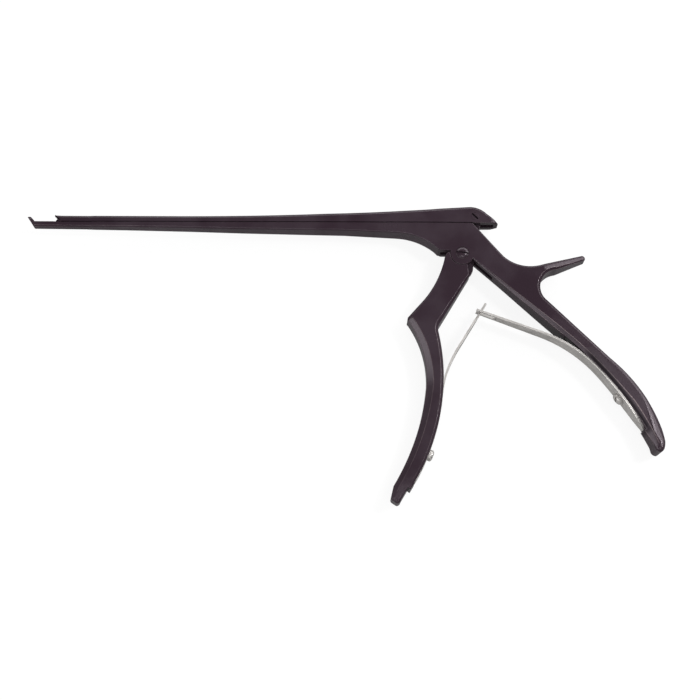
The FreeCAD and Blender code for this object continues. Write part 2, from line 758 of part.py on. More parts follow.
def leaf(label, centre, radius, low, leave, bend, turn, tip, side):
    """Side is 1 where the leaf bends on the way its seat does, and -1 where it bends back."""
    body = new_body(label)
    thick = f"{side} * leaf_thick"
    knee = polar(centre, f"{radius} - {side} * {bend}", leave)
    look = f"{leave} + {turn}" if side == 1 else f"180 + {leave} - {turn}"
    ahead = f"{look} + {side * 90}"
    far = f"{bend} + leaf_thick"
    profile = outline(
        new_sketch(body, "profile"),
        polar(centre, radius, low),
        (*polar(centre, radius, leave), radius),
        (*polar(knee, bend, look), f"{side} * {bend}"),
        polar(polar(knee, bend, look), tip, ahead),
        polar(polar(knee, far, look), tip, ahead),
        polar(knee, far, look),
        (*polar(centre, f"{radius} + {thick}", leave), f"-{side} * ({far})"),
        (*polar(centre, f"{radius} + {thick}", low), f"-({radius} + {thick})"),
    )
    feature(body, "Pad", "strip", profile, "leaf_wide")
    return body


def front_leaf_spring():
    body = leaf("front_leaf_spring", GRIP, "grip_radius", "-front_leaf_low", "-front_leaf_leave",
                "front_leaf_bend", "front_leaf_turn", "front_leaf_tip", -1)
    plan = both_sides(
        new_sketch(body, "plan", "YZ_Plane"),
        ("0", "front_tongue_wide / 2"),
        ("-front_tongue_drop", "front_tongue_wide / 2"),
        ("-front_tongue_drop", "leaf_tip_wide / 2"),
        ("-front_leaf_wide_drop", "leaf_wide / 2"),
        ("-front_leaf_wide_drop", OUTSIDE),
        ("0", OUTSIDE),
    )
    feature(body, "Pocket", "plan_cut", plan, THROUGH)
    screw_hole(body, "screw_hole", GRIP, "grip_radius", "-front_screw_angle", "spring_screw_radius + screw_gap")
    return body


def rear_leaf_spring():
    body = leaf("rear_leaf_spring", SEAT, "seat_radius", "rear_leaf_low", "rear_leaf_leave",
                "rear_leaf_bend", "rear_leaf_turn", "rear_leaf_tip", 1)
    plan = both_sides(
        new_sketch(body, "plan", "XZ_Plane"),
        ("handle_reach - rear_tip_ahead", "leaf_tip_wide / 2"),
        ("handle_reach - rear_leaf_wide_ahead", "leaf_wide / 2"),
        ("handle_reach - rear_leaf_wide_ahead", OUTSIDE),
        ("handle_reach - rear_tip_ahead", OUTSIDE),
    )
    feature(body, "Pocket", "plan_cut", plan, THROUGH)
    fork = outline(
        new_sketch(body, "fork", "XZ_Plane"),
        ("handle_reach - rear_tip_ahead", "-rear_fork_wide / 2"),
        ("handle_reach - rear_fork_ahead", "-rear_fork_wide / 2"),
        ("handle_reach - rear_fork_ahead", "rear_fork_wide / 2", f"{HALF_TURN} * rear_fork_wide"),
        ("handle_reach - rear_tip_ahead", "rear_fork_wide / 2"),
    )
    feature(body, "Pocket", "fork_cut", fork, THROUGH)
    screw_hole(body, "screw_hole", SEAT, "seat_radius", "rear_screw_angle", "spring_screw_radius + screw_gap")
    return body


def screwed(body, centre, radius, angle):
    screw_hole(body, "spring_hole", centre, radius, angle, "spring_screw_radius + screw_gap")
    return body


PIECES = [
    screwed(frame(), SEAT, "seat_radius", "rear_screw_angle"),
    slide(),
    screwed(trigger(), GRIP, "grip_radius", "-front_screw_angle"),
    pivot_screw(),
    drive_screw(),
    front_leaf_spring(),
    rear_leaf_spring(),
    spring_screw("front_spring_screw", GRIP, "-front_screw_angle", 0),
    spring_screw("rear_spring_screw", SEAT, "rear_screw_angle", 180),
]

doc.recompute()
for item in doc.Objects:
    if {"Invalid", "Error"} & set(item.State):
        raise ValueError(f"{item.Name}: {item.getStatusString()}")

whole = Part.makeCompound([piece.Shape for piece in PIECES]).optimalBoundingBox(True, False)
lift = Vector(-whole.Center.x, -whole.Center.y, -whole.ZMin)
for piece in PIECES:
    turn = piece.Placement.Rotation
    for axis in "xyz":
        piece.setExpression(f"Placement.Base.{axis}", None)
    piece.Placement = FreeCAD.Placement(piece.Placement.Base + lift, turn)
doc.recompute()

for piece in PIECES:
    if piece.Shape.isNull() or not piece.Shape.isValid() or len(piece.Shape.Solids) != 1:
        raise ValueError(f"{piece.Label} is not one sound solid")
    piece.Shape.exportStep(f"parts/{piece.Label}.step")
    print(piece.Label, round(piece.Shape.Volume, 1))
print("size", whole.XLength, whole.YLength, whole.ZLength)
print("pivot", lift)
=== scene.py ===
import json
import math

import bmesh
import bpy
from mathutils import Matrix, Vector
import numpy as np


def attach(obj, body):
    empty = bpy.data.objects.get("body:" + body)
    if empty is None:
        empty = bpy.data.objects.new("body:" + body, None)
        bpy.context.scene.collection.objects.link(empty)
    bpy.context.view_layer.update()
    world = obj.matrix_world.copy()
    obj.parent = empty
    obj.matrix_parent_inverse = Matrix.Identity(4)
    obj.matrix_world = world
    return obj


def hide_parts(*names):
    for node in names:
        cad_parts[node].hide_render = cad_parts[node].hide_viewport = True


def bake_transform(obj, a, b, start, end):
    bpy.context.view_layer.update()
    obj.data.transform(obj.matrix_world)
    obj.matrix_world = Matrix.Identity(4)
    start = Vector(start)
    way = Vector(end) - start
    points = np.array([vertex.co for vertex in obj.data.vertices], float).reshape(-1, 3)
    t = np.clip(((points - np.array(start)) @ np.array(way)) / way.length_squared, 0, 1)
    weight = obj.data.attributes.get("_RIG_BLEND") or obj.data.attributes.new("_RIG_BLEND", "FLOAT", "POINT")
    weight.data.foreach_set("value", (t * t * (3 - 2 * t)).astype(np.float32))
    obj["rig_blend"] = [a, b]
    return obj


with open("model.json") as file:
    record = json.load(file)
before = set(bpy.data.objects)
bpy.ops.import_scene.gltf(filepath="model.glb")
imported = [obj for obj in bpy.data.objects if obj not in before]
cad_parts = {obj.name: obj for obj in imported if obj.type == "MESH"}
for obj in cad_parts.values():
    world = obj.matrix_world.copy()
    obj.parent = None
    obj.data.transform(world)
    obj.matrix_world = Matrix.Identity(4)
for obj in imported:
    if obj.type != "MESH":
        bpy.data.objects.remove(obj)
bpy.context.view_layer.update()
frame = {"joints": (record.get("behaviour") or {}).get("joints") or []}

# The camera looks down on the instrument, a little from the side of the grips, as in the photo.
# It is aimed just behind the middle of the shaft, and leans by half a degree.
MM = 0.001
TILT = math.radians(16.5)
LEAN = math.radians(0.45)
DISTANCE = 520 * MM
VIEW_WIDTH = 304.5 * MM  # what the picture spans at that distance
AIM = Vector((5.4, 0.97, 4.5)) * MM

ahead = Vector((0, math.sin(TILT), -math.cos(TILT)))
upward = Vector((0, math.cos(TILT), math.sin(TILT)))
right = Vector((1, 0, 0)) * math.cos(LEAN) + upward * math.sin(LEAN)
top = -Vector((1, 0, 0)) * math.sin(LEAN) + upward * math.cos(LEAN)
camera_data = bpy.data.cameras.new("camera")
camera_data.sensor_width = 36
camera_data.lens = 36 * DISTANCE / VIEW_WIDTH
camera_data.clip_start = 0.01
camera = bpy.data.objects.new("camera", camera_data)
bpy.context.scene.collection.objects.link(camera)
camera.matrix_world = Matrix.Translation(AIM - ahead * DISTANCE) @ Matrix(
    (right, top, -ahead)).transposed().to_4x4()
bpy.context.scene.camera = camera
bpy.context.scene.view_settings.view_transform = "Standard"

# A plain white table lies under the instrument. The camera sees it almost white, and it keeps a
# faint shadow. The light is a dim white room and eight soft lamps, placed so that the polished
# flats mirror the dark between the lamps, while the edges and bevels catch their light.


class Wire:
    """A shader socket that takes part in Python sums: each operation adds its node."""

    def __init__(self, tree, socket):
        self.tree, self.socket = tree, socket

    def worked(self, operation, *others):
        return add(self.tree, "ShaderNodeMath", {"operation": operation}, [self, *others])

    def __add__(self, other): return self.worked("ADD", other)
    def __radd__(self, other): return self.worked("ADD", other)
    def __mul__(self, other): return self.worked("MULTIPLY", other)
    def __rmul__(self, other): return self.worked("MULTIPLY", other)

    def blend(self, low, high):
        """From the colour low to the colour high as this value goes from 0 to 1.

        Sockets 6 and 7 and output 2 are the Mix node's colours.
        """
        return add(self.tree, "ShaderNodeMix", {"data_type": "RGBA"},
                   {"Factor": self, 6: low, 7: high}, 2)

    def ramp(self, start, end):
        """0 below start, 1 above end, smooth between."""
        return add(self.tree, "ShaderNodeMapRange", {"interpolation_type": "SMOOTHSTEP"},
                   [self, start, end, 0, 1])


def add(tree, kind, settings, inputs, output=0):
    """A node with its settings, and its inputs as values or wires, by place or by name."""
    node = tree.nodes.new(kind)
    for name, setting in settings.items():
        setattr(node, name, setting)
    for key, given in (inputs.items() if isinstance(inputs, dict) else enumerate(inputs)):
        if isinstance(given, Wire):
            tree.links.new(given.socket, node.inputs[key])
        else:
            node.inputs[key].default_value = given
    return Wire(tree, node.outputs[output]) if node.outputs else None


def new_material(name):
    material = bpy.data.materials.new(name)
    material.use_nodes = True
    tree = material.node_tree
    tree.nodes.clear()
    return material, tree


def surface(tree, shader):
    add(tree, "ShaderNodeOutputMaterial", {}, {"Surface": shader})


def lamp(name, place, target, width, depth, power):
    """A soft box in metres and watts that faces its target."""
    data = bpy.data.lights.new(name, "AREA")
    data.shape, data.size, data.size_y = "RECTANGLE", width, depth
    data.energy = power
    light = bpy.data.objects.new(name, data)
    bpy.context.scene.collection.objects.link(light)
    light.location = place
    light.rotation_euler = (Vector(target) - Vector(place)).to_track_quat("-Z", "Y").to_euler()


TABLE_HALF = 4  # metres
TABLE_DROP = 0.0004  # the table lies this far under the instrument, in metres
TABLE_PAINT = (0.86, 0.86, 0.86, 1)
TABLE_PAINT_PALE = (0.88, 0.88, 0.88, 1)
GLOW_SHARE = 0.87  # the rest of what the camera sees is the paint, with its shadow
GLOW_SEEN = (1, 1, 1, 1)
GLOW_IN_REFLECTIONS = (0.22, 0.22, 0.22, 1)
ROOM_LIGHT = 0.3

table_mesh = bpy.data.meshes.new("table_top")
corners = [(x * TABLE_HALF, y * TABLE_HALF, 0) for x, y in ((-1, -1), (1, -1), (1, 1), (-1, 1))]
table_mesh.from_pydata(corners, [], [(0, 1, 2, 3)])
table_top = bpy.data.objects.new("table_top", table_mesh)
table_top.location.z = -TABLE_DROP
bpy.context.scene.collection.objects.link(table_top)
material, tree = new_material("white_table")
to_camera = add(tree, "ShaderNodeLightPath", {}, {}, "Is Camera Ray")
mirrored = add(tree, "ShaderNodeLightPath", {}, {}, "Is Glossy Ray")
grain = add(tree, "ShaderNodeTexNoise", {}, {"Scale": 40.0, "Detail": 3.0})
matt = add(tree, "ShaderNodeBsdfPrincipled", {}, {
    "Base Color": grain.blend(TABLE_PAINT, TABLE_PAINT_PALE), "Roughness": 0.9})
glow = add(tree, "ShaderNodeEmission", {}, {
    "Color": to_camera.blend(GLOW_IN_REFLECTIONS, GLOW_SEEN), "Strength": 1.0})
seen = (to_camera + mirrored) * GLOW_SHARE
surface(tree, add(tree, "ShaderNodeMixShader", {}, [seen, matt, glow]))
table_top.data.materials.append(material)

world = bpy.data.worlds.new("soft_room")
world.use_nodes = True
world.node_tree.nodes["Background"].inputs["Color"].default_value = (1, 1, 1, 1)
world.node_tree.nodes["Background"].inputs["Strength"].default_value = ROOM_LIGHT
bpy.context.scene.world = world

lamp("left_strip", (-0.95, -0.33, 0.24), (0, 0, 0), 1.3, 0.34, 7.0)
lamp("right_box", (0.75, 0.35, 0.40), (0.03, 0, 0), 0.6, 0.4, 4.0)
lamp("palm_spark", (0.625, 0.145, 0.73), (0.13, -0.03, 0), 0.12, 0.12, 3.0)
lamp("corner_box", (0.50, 0.75, 0.36), (0.05, 0, 0), 0.5, 0.3, 2.4)
lamp("back_box", (-0.15, 0.8, 0.36), (0, 0, 0), 0.8, 0.3, 3.5)
lamp("hook_box", (0.51, 0.29, 0.76), (0.08, 0, 0), 0.22, 0.22, 1.3)
lamp("front_strip", (-0.1, -0.65, 0.60), (0, 0, 0), 1.2, 0.25, 2.0)
lamp("near_strip", (0.0, -0.26, 0.90), (0, 0, 0), 0.9, 0.08, 2.4)

# Fixed frame: shaft, footplate, slotted body and rear handle are one steel forging, ground and
# milled. It is coated nearly black with a hard, faintly violet film, paler along its ridges with
# wear and painted highlight, and with painted shade in its milled hollows and beside the leaf spring.
# The slide's rail, the slot for the trigger's tongue and the bed of the leaf spring are part of it.
PIVOT = Vector(frame["joints"][0]["pos_m"])
COAT_DARK = (0.017, 0.009, 0.014, 1)
COAT_PALE = (0.026, 0.017, 0.023, 1)
# the paler colour of worn ridges, which is also a painted highlight along them
COAT_WEAR_AND_HIGHLIGHT = (0.20, 0.16, 0.165, 1)
COAT_PAINTED_SHADE = (0.002, 0.001, 0.002, 1)  # painted shade in milled hollows and on the facet beside the leaf spring
COAT_GLOSS_TINT = (1.0, 0.9, 0.97, 1)


def mesh_value(tree, name):
    """A value that the piece's mesh carries at each of its points."""
    return add(tree, "ShaderNodeAttribute", {"attribute_name": name}, {}, "Fac")


def coated_steel(name):
    """Black coat: soft clouds, brush marks along the shaft, fine grain, and wear with painted highlight on
    the ridges.
    """
    material, tree = new_material(name)
    place = add(tree, "ShaderNodeTexCoord", {}, {}, "Object")
    cloud = add(tree, "ShaderNodeTexNoise", {}, {"Vector": place, "Scale": 55.0, "Detail": 5.0})
    stretched = add(tree, "ShaderNodeMapping", {},
                    {"Vector": place, "Scale": (300.0, 2600.0, 2600.0)})
    brushed = add(tree, "ShaderNodeTexNoise", {},
                  {"Vector": stretched, "Scale": 1.0, "Detail": 2.0})
    speckle = add(tree, "ShaderNodeTexNoise", {},
                  {"Vector": place, "Scale": 1400.0, "Detail": 1.0})
    # painted shade: where the mesh's shade value is 1, the coat turns near black and rough
    shade = mesh_value(tree, "shade")
    # the ridge value gives wear and a painted highlight along the edges, paler than the coat
    wear_highlight_mask = (mesh_value(tree, "ridge") * (cloud * 0.6 + speckle * 0.2 + 0.2)).ramp(0.2, 0.8)
    tint = cloud.ramp(0.35, 0.65).blend(COAT_DARK, COAT_PALE)
    bump = add(tree, "ShaderNodeBump", {},
               {"Strength": 0.04, "Distance": 0.00002, "Height": brushed + speckle * 0.5})
    metal = add(tree, "ShaderNodeBsdfPrincipled", {}, {
        "Base Color": shade.blend(wear_highlight_mask.blend(tint, COAT_WEAR_AND_HIGHLIGHT), COAT_PAINTED_SHADE),
        "Roughness": 0.24 + cloud * 0.05 + shade * 0.6, "Normal": bump,
        "Specular IOR Level": 0.3, "Specular Tint": COAT_GLOSS_TINT})
    surface(tree, metal)
    return material


ARC_STEP, ARC_RUN, LINE_RUN = math.radians(6), 2.5, 3.0  # longest steps along an outline


def trace(start, *steps):
    """Outline points (x, y, edge size, crispness) in millimetres from the pivot.

    A step is where a line ends, with radius 0, or where an arc of that radius ends.
    """
    points = [(*start, steps[-1][3], steps[-1][4])]
    for x, y, radius, edge, crisp in steps:
        px, py, old_edge, old_crisp = points[-1]
        reach = math.hypot(x - px, y - py)
        if radius:
            lift = math.sqrt(max(radius**2 - reach**2 / 4, 0)) * math.copysign(1, radius)
            cx = (px + x) / 2 - (y - py) / reach * lift
            cy = (py + y) / 2 + (x - px) / reach * lift
            first = math.atan2(py - cy, px - cx)
            sweep = 2 * math.asin(min(reach / 2 / abs(radius), 1)) * math.copysign(1, radius)
            count = max(2, math.ceil(abs(sweep) / ARC_STEP),
                        math.ceil(abs(sweep * radius) / ARC_RUN))
        else:
            count = max(1, math.ceil(reach / LINE_RUN))
        for n in range(1, count + 1):
            t = n / count
            if radius:
                angle = first + sweep * t
                here = (cx + abs(radius) * math.cos(angle), cy + abs(radius) * math.sin(angle))
            else:
                here = (px + (x - px) * t, py + (y - py) * t)
            points.append((*here, old_edge + (edge - old_edge) * t,
                           old_crisp + (crisp - old_crisp) * t))
    return points


# How an edge goes from the rim to the side face: inset and drop as shares of its size, and wear with painted
# highlight.
ROUND_EDGE = [(0, 1, 0), (0, 1, 0), (.02, .8, .1), (.1, .564, .5), (.293, .293, 1),
              (.564, .1, .5), (.8, .02, .1), (1, 0, 0), (1, 0, 0)]
CRISP_EDGE = [(0, 1.04, 0), (0, 1.04, 1), (.04, .96, 1), (.12, .88, 0), (.5, .5, 0),
              (.88, .12, 0), (.96, .04, 1), (1.04, 0, 1), (1.04, 0, 0)]
WEAR_AND_HIGHLIGHT_LINE = 0.15  # first and last ring stand this far off the edge, so that wear and painted highlight end in a line
FULL_BEVEL = 2.2  # a softer edge wider than this is cut less deep than it is wide


def inward(points):
    """For each outline point, the mitred direction to the right of travel."""
    result = []
    for before, here, after in zip(points[-1:] + points[:-1], points, points[1:] + points[:1]):
        normals = []
        for a, b in ((before, here), (here, after)):
            run = Vector((b[0] - a[0], b[1] - a[1]))
            normals.append(Vector((run.y, -run.x)).normalized())
        mitre = (normals[0] + normals[1]) / max(1 + normals[0].dot(normals[1]), 0.45)
        result.append(mitre)
    return result


def score(mesh, faces, x_cuts, y_cuts):
    """Cuts the flat side face into strips, so that it can follow a curved width."""
    for axis, cuts in ((0, x_cuts), (1, y_cuts)):
        for cut in cuts:
            place, normal = [0, 0, 0], [0, 0, 0]
            place[axis], normal[axis] = cut, 1
            flats = set(faces)
            parts = [f for f in mesh.faces if f in flats and f.calc_area() > 0]
            edges = dict.fromkeys(e for f in parts for e in f.edges)
            verts = dict.fromkeys(v for f in parts for v in f.verts)
            made = bmesh.ops.bisect_plane(mesh, geom=[*parts, *edges, *verts], plane_co=place,
                                          plane_no=normal, dist=1e-5)
            faces = [g for g in made["geom"] if isinstance(g, bmesh.types.BMFace)]


def forged(name, points, half_width, x_cuts=(), y_cuts=(), shaded=lambda x, y: 0, most_wear_and_highlight=1.0):
    """A solid of this clockwise side outline, with the given half width and both sides worked."""
    if (points[0][0] - points[-1][0])**2 + (points[0][1] - points[-1][1])**2 < 1e-8:
        points = points[:-1]
    mesh = bmesh.new()
    drop, ridge, shade = (mesh.verts.layers.float.new(key) for key in ("drop", "ridge", "shade"))
    mitres = inward(points)
    rings = []
    for k, steps in enumerate(zip(ROUND_EDGE, CRISP_EDGE)):
        ring = []
        for (x, y, edge, crisp), mitre in zip(points, mitres):
            inset, fall, wear_and_highlight = (soft + (hard - soft) * crisp for soft, hard in zip(*steps))
            shy = WEAR_AND_HIGHLIGHT_LINE * min(edge, 1)
            inset = inset * edge + (shy if k == len(ROUND_EDGE) - 1 else 0)
            vert = mesh.verts.new((x + mitre.x * inset, y + mitre.y * inset, 0))
            depth = edge - 0.6 * (1 - crisp) * max(edge - FULL_BEVEL, 0)
            vert[drop] = fall * depth + (shy if k == 0 else 0)
            vert[ridge] = wear_and_highlight * min(most_wear_and_highlight, 0.35 + 0.65 * crisp + max(0.0, 0.6 - edge))
            ring.append(vert)
        rings.append(ring)
    count = len(points)
    for outer, inner in zip(rings, rings[1:]):
        for i in range(count):
            j = (i + 1) % count
            mesh.faces.new((outer[i], inner[i], inner[j], outer[j]))
    score(mesh, [mesh.faces.new(rings[-1])], x_cuts, y_cuts)
    for vert in mesh.verts:
        # painted shade, as much as shaded gives at each point
        vert[shade] = shaded(vert.co.x, vert.co.y)
        vert.co.z = max(half_width(vert.co.x, vert.co.y) - vert[drop], 0.02)
    other = bmesh.ops.duplicate(mesh, geom=mesh.verts[:] + mesh.edges[:] + mesh.faces[:])
    twins = [other["vert_map"][vert] for vert in rings[0]]
    for vert in [g for g in other["geom"] if isinstance(g, bmesh.types.BMVert)]:
        vert.co.z *= -1
    flipped = [g for g in other["geom"] if isinstance(g, bmesh.types.BMFace)]
    bmesh.ops.reverse_faces(mesh, faces=flipped)
    for i in range(count):
        j = (i + 1) % count
        mesh.faces.new((rings[0][j], twins[j], twins[i], rings[0][i]))
    bmesh.ops.triangulate(mesh, faces=[f for f in mesh.faces if len(f.verts) > 4])
    bmesh.ops.recalc_face_normals(mesh, faces=mesh.faces)
    return finish_mesh(name, mesh)


def finish_mesh(name, mesh, place=Matrix()):
    """Turns millimetres from the pivot into metres in the frame, and makes the object."""
    for vert in mesh.verts:
        vert.co = PIVOT + (place @ vert.co) * MM
    data = bpy.data.meshes.new(name)
    mesh.to_mesh(data)
    mesh.free()
    piece = bpy.data.objects.new(name, data)
    bpy.context.scene.collection.objects.link(piece)
    return piece


def block(points, low, high, place=Matrix(), hollow_shade=1.0):
    """A plain block of this outline between two heights, to cut away or to join.

    Where it meets the piece, its faces carry this much painted shade, which darkens the coat there.
    """
    mesh = bmesh.new()
    shade = mesh.verts.layers.float.new("shade")
    below = [mesh.verts.new((x, y, low)) for x, y in points]
    above = [mesh.verts.new((x, y, high)) for x, y in points]
    mesh.faces.new(below)
    mesh.faces.new(above[::-1])
    for i, a in enumerate(below):
        j = (i + 1) % len(below)
        mesh.faces.new((a, above[i], above[j], below[j]))
    for vert in mesh.verts:
        vert[shade] = hollow_shade
    bmesh.ops.recalc_face_normals(mesh, faces=mesh.faces)
    return finish_mesh("block", mesh, place)


def on_circle(centre, radius, degrees):
    angle = math.radians(degrees)
    return centre[0] + radius * math.cos(angle), centre[1] + radius * math.sin(angle)


def drill(x, y, radius, low, high):
    """A round block, as a drill or counterbore leaves it."""
    return block([on_circle((x, y), radius, 7.5 * n) for n in range(48)], low, high)


def bed(centre, inner, outer, first, sweep, count):
    """A shallow bed for a leaf spring, along an arc of so many degrees."""
    there = [on_circle(centre, inner, first + n * sweep / count) for n in range(count + 1)]
    back = [on_circle(centre, outer, first + sweep - n * sweep / count) for n in range(count + 1)]
    return block(there + back, -BED_HALF, BED_HALF)


def combine(piece, operation, *tools):
    """Cuts the tools from a piece, or joins them to it, and removes them."""
    for tool in tools:
        step = piece.modifiers.new("step", "BOOLEAN")
        step.operation, step.solver, step.object = operation, "EXACT", tool
        bake(piece)
        bpy.data.objects.remove(tool)
    return piece


def bake(piece):
    """Makes the result of the piece's modifiers its own mesh."""
    graph = bpy.context.evaluated_depsgraph_get()
    graph.update()
    made = bpy.data.meshes.new_from_object(piece.evaluated_get(graph))
    piece.modifiers.clear()
    piece.data = made


CREASE = math.radians(30)  # a sharper fold than this keeps a hard line


def finish_piece(piece, material, body):
    """Gives the piece its finish, and has it ride on a body if one is named."""
    piece.data.materials.clear()
    piece.data.materials.append(material)
    piece.data.shade_smooth()
    piece.data.set_sharp_from_angle(angle=CREASE)
    smooth = piece.modifiers.new("even_faces", "WEIGHTED_NORMAL")
    smooth.keep_sharp, smooth.weight = True, 100
    bake(piece)
    if body:
        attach(piece, body)
    return piece


def smoothstep(x, low, high):
    t = min(max((x - low) / (high - low), 0), 1)
    return t * t * (3 - 2 * t)


# Sizes in millimetres from the pivot's axis and from the middle plane.
SEAM = 14.4  # height of the sliding face over the pivot
SEAM_SLOT = 0.22  # both shafts are relieved this far from the sliding face, so it shows as a line
SEAM_RELIEF = 0.6  # how deep that relief is
TIP_HALF, SHAFT_HALF, BODY_HALF, PALM_HALF = 2.1, 2.35, 4.25, 6.0  # half widths
TIP_END, SHAFT_START, SHAFT_END = -166, -165.2, -20  # where the half widths change along the shaft
TONGUE_SLOT_HALF = 1.5
BED_HALF = 4.6
RAIL_NECK_HALF, RAIL_HEAD_HALF = 0.75, 1.3
RAIL_NECK_HIGH, RAIL_HIGH, RAIL_END = 0.5, 1.2, -10.6
CLEAR = 6  # no side face stands further out than this, so a through hole runs from -CLEAR to CLEAR
SEAT_CENTRE, SEAT_RADIUS = (-74.6, -163.15), 172.0  # the arc on which the rear leaf spring lies
PIVOT_HEAD_RADIUS, PIVOT_HEAD_FLOOR, PIVOT_BORE = 2.9, 3.05, 1.99
BOSS_RADIUS = 5.3


def shaft_width(x):
    if x < TIP_END:
        return TIP_HALF
    if x < SHAFT_END:
        taper = max((x - SHAFT_START) / 145.2, 0)
        step = max(SHAFT_START - x, 0) / 0.8
        return SHAFT_HALF + (BODY_HALF - SHAFT_HALF) * taper - (SHAFT_HALF - TIP_HALF) * step
    return BODY_HALF


def frame_width(x, y):
    if y > SEAM + 0.6 and x < -185:  # the footplate's rounded end
        return math.sqrt(max(TIP_HALF**2 - (y - SEAM - 0.6)**2, 0.01))
    width = shaft_width(x) + (PALM_HALF - BODY_HALF) * smoothstep(x, 14, 40)
    if x > -179.3 and y > SEAM - SEAM_SLOT:
        width -= SEAM_RELIEF
    if x > 36 and y > -12:  # the hook, which thins towards its end
        width = min(width, 5.7 - (x - 36) * 0.16)
    return width


def painted_shade_beside_leaf(x, y):
    """Painted shade on the handle's facet right beside the leaf spring, where the leaf shades it."""
    reach = math.hypot(x - SEAT_CENTRE[0], y - SEAT_CENTRE[1])
    angle = math.degrees(math.atan2(y - SEAT_CENTRE[1], x - SEAT_CENTRE[0]))
    if reach < 171:
        return 0
    return max(0, min(1, (174.6 - reach) / 1.1, (angle - 28.6) / 0.8, (43.5 - angle) / 2))


FOOT_ROOT, FOOT_RISE, FOOT_LEAN = -190.4, 2.7, math.radians(40)
foot_top = (FOOT_ROOT - FOOT_RISE * math.tan(FOOT_LEAN), SEAM + FOOT_RISE)
foot_front = (foot_top[0] - 1.0, foot_top[1] - 0.84)
seat = [on_circle(SEAT_CENTRE, SEAT_RADIUS, angle)
        for angle in (26.9, 28.4, 31, 33.4, 35.5, 39.5, 43.5, 46.4)]
frame_outline = trace(
    (FOOT_ROOT, SEAM),
    (-188.0, SEAM, 0, 0.15, 0),
    (-179.2, SEAM, 0, 0.05, 0),
    (4.4, SEAM, 0, 0.05, 0),
    (4.9, SEAM - 0.25, 0, 0.4, 0),
    (18.2, -1.1, 0, 1.3, 0),
    (36.0, -5.0, 17.0, 1.3, 0),
    (52.9, -0.3, 0, 0.8, 0),
    (54.0, -2.4, -1.35, 0.5, 0.6),
    (48.4, -4.5, 0, 0.55, 1),
    (41.3, -7.35, 0, 0.9, 1),
    (35.6, -21.0, 8.3, 1.5, 0.6),
    (62.5, -48.0, 0, 1.5, 0),
    (77.09, -65.67, -70.0, 1.9, 0),
    (82.9, -78.5, -70.0, 4.5, 0),
    (83.8, -84.0, -40.0, 2.6, 0),
    (83.1, -87.3, -9.0, 1.8, 0),
    (81.7, -88.7, -3.0, 1.7, 0),
    (79.2, -86.6, -2.3, 1.7, 0.4),
    (*seat[0], 0, 1.9, 0.8),
    (*seat[1], SEAT_RADIUS, 2.2, 1),
    (*seat[2], SEAT_RADIUS, 2.7, 1),
    (*seat[3], SEAT_RADIUS, 2.95, 1),
    (*seat[4], SEAT_RADIUS, 2.5, 1),
    (*seat[5], SEAT_RADIUS, 2.0, 1),
    (*seat[6], SEAT_RADIUS, 1.7, 1),
    (*seat[7], SEAT_RADIUS, 1.5, 1),
    (24.5, -21.0, 0, 1.2, 1),
    (*on_circle((0, 0), BOSS_RADIUS, -30), 0, 0.5, 0.6),
    (0, -BOSS_RADIUS, -BOSS_RADIUS, 0.25, 0),
    (-5.16, 1.2, -BOSS_RADIUS, 0.25, 0),
    (-9.4, 1.2, 0, 0.35, 0),
    (-10.6, 1.6, 1.6, 0.4, 0),
    (-12.3, 3.3, 0, 0.4, 0),
    (-29.0, 9.5, 28.0, 0.6, 0.3),
    (-52.0, 10.55, 0, 0.6, 0.3),
    (-72.0, 10.75, 0, 0.6, 0.4),
    (-98.0, 11.05, 0, 0.65, 0.5),
    (-122.0, 11.52, 0, 0.65, 0.6),
    (-150.0, 11.87, 0, 0.6, 0.8),
    (-190.6, 12.1, 0, 0.6, 0.9),
    (-191.2, 12.7, -0.8, 0.35, 0),
    (*foot_front, 0, 0.25, 0),
    (*foot_top, -0.66, 0.1, 0),
    (FOOT_ROOT, SEAM, 0, 0.1, 0),
)
frame_forging = forged(
    "frame_forging", frame_outline, frame_width,
    x_cuts=[-179.4, -179.2, TIP_END, SHAFT_START, SHAFT_END,
            14, 17, 20, 23, 27, 31, 34, 36, 37.5, 39, 42, 46, 50],
    y_cuts=[-12, SEAM - SEAM_SLOT - 0.04, SEAM - SEAM_SLOT + 0.01, 14.39, 15, 15.5, 16, 16.4, 16.8],
    shaded=painted_shade_beside_leaf)
tongue_slot = block([(-9.6, 15.4), (13.6, 15.4), (9.0, 9.2), (13.6, -12.6), (-9.6, -12.6)],
                    -TONGUE_SLOT_HALF, TONGUE_SLOT_HALF)
combine(frame_forging, "DIFFERENCE", tongue_slot)
combine(frame_forging, "DIFFERENCE", drill(0, 0, PIVOT_HEAD_RADIUS, PIVOT_HEAD_FLOOR, CLEAR),
        drill(0, 0, PIVOT_BORE, -CLEAR, CLEAR))
combine(frame_forging, "DIFFERENCE", bed(SEAT_CENTRE, 170.0, 172.9, 29.3, 17.3, 24))
neck_top = SEAM + RAIL_NECK_HIGH + 0.05  # a little inside the head
rail_neck = block([(-181.7, SEAM - 0.3), (-181.7, SEAM), (-181.15, neck_top), (RAIL_END, neck_top),
                   (RAIL_END, SEAM - 0.3)], -RAIL_NECK_HALF, RAIL_NECK_HALF, hollow_shade=0)
rail_head = block([(-181.15, SEAM + RAIL_NECK_HIGH), (-180.5, SEAM + RAIL_HIGH),
                   (RAIL_END, SEAM + RAIL_HIGH), (RAIL_END, SEAM + RAIL_NECK_HIGH)],
                  -RAIL_HEAD_HALF, RAIL_HEAD_HALF, hollow_shade=0)
combine(frame_forging, "UNION", rail_neck, rail_head)
black_coat = coated_steel("black_coat")
finish_piece(frame_forging, black_coat, "frame")
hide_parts("frame")

